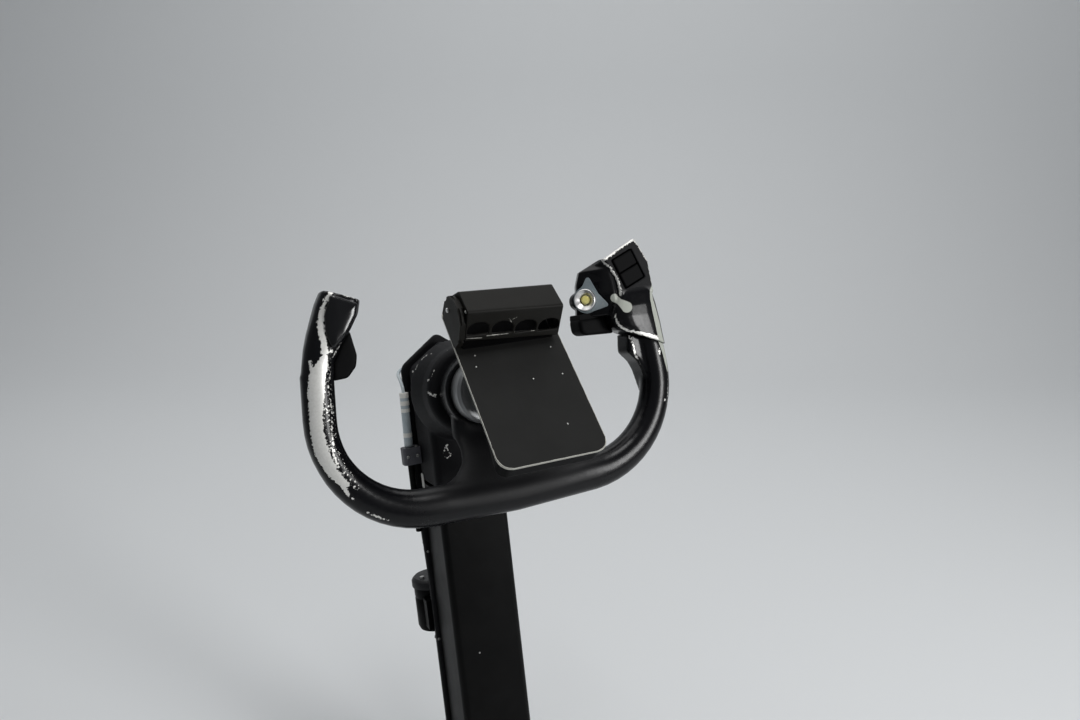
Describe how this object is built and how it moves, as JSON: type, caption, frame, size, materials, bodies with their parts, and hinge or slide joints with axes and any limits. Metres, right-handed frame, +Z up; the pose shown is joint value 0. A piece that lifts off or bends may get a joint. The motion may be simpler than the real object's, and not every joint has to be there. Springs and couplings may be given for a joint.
{
  "type": "airliner control column and wheel",
  "caption": "Floor-standing control column for an airliner pilot: U-shaped wheel with switch head and sprung chart clip, rolling on a leaning column that pitches on a torque tube.",
  "frame": {"origin": "middle of the floor plate's underside", "axes": "+Z up, +Y forward in the aircraft, the pilot sits at -Y and faces +Y, +X is the pilot's right"},
  "size_m": [0.4074, 0.3492, 0.8003],
  "materials": {
    "black_enamel": "gloss, worn through to bare metal at the grips",
    "satin_paint": "satin",
    "olive_paint": "matte",
    "grey_disc": "satin",
    "bare_steel": "machined",
    "cast_fitting": "as cast",
    "black_plastic": "matte",
    "blue_plate": "satin",
    "collar": "polished",
    "amber_button": "gloss",
    "sleeve": "satin"
  },
  "bodies": {
    "base": {"floor_plate": "cast_fitting", "bearing_left": "cast_fitting", "bearing_right": "cast_fitting", "forward_stop": "cast_fitting", "stop_pad": "black_plastic"},
    "column": {"torque_tube": "bare_steel", "column_foot": "cast_fitting", "cable_arm": "cast_fitting", "column_box": "satin_paint", "column_head": "black_enamel", "column_back_plate": "satin_paint", "shaker_motor": "black_plastic", "shaker_lid": "satin_paint", "shaker_saddle": "satin_paint", "wiring_sleeve": "sleeve", "wiring_clamp": "black_plastic", "wiring_rod": "satin_paint"},
    "wheel": {"wheel_casting": "black_enamel", "wheel_shaft": "bare_steel", "hub_cap": "grey_disc", "left_head_cover": "black_enamel", "transmit_trigger": "black_plastic", "switch_head": "black_enamel", "trim_rocker_upper": "black_plastic", "trim_rocker_lower": "black_plastic", "switch_housing": "black_plastic", "button_flange": "blue_plate", "button_collar": "collar", "disconnect_button": "amber_button", "chart_board": "olive_paint", "board_tray": "black_plastic", "board_bracket": "satin_paint", "clip_end_cap": "olive_paint", "clip_lug": "olive_paint", "clip_pin": "bare_steel"},
    "clip": {"clip_hood": "olive_paint"}
  },
  "joints": [
    {"name": "column_pitch", "type": "hinge", "parent": "base", "child": "column", "pos_m": [0, 0, 0.07], "axis": [1, 0, 0], "range_deg": [0, 24]},
    {"name": "wheel_roll", "type": "hinge", "parent": "column", "child": "wheel", "pos_m": [0, -0.02, 0.66], "axis": [0, 0.9455, -0.3256], "range_deg": [-90, 90]},
    {"name": "clip_lift", "type": "hinge", "parent": "wheel", "child": "clip", "pos_m": [0, -0.02701, 0.7567], "axis": [-1, 0, 0], "range_deg": [0, 25], "stiffness_Nm_per_rad": 0.6, "springref_deg": -28.65}
  ]
}
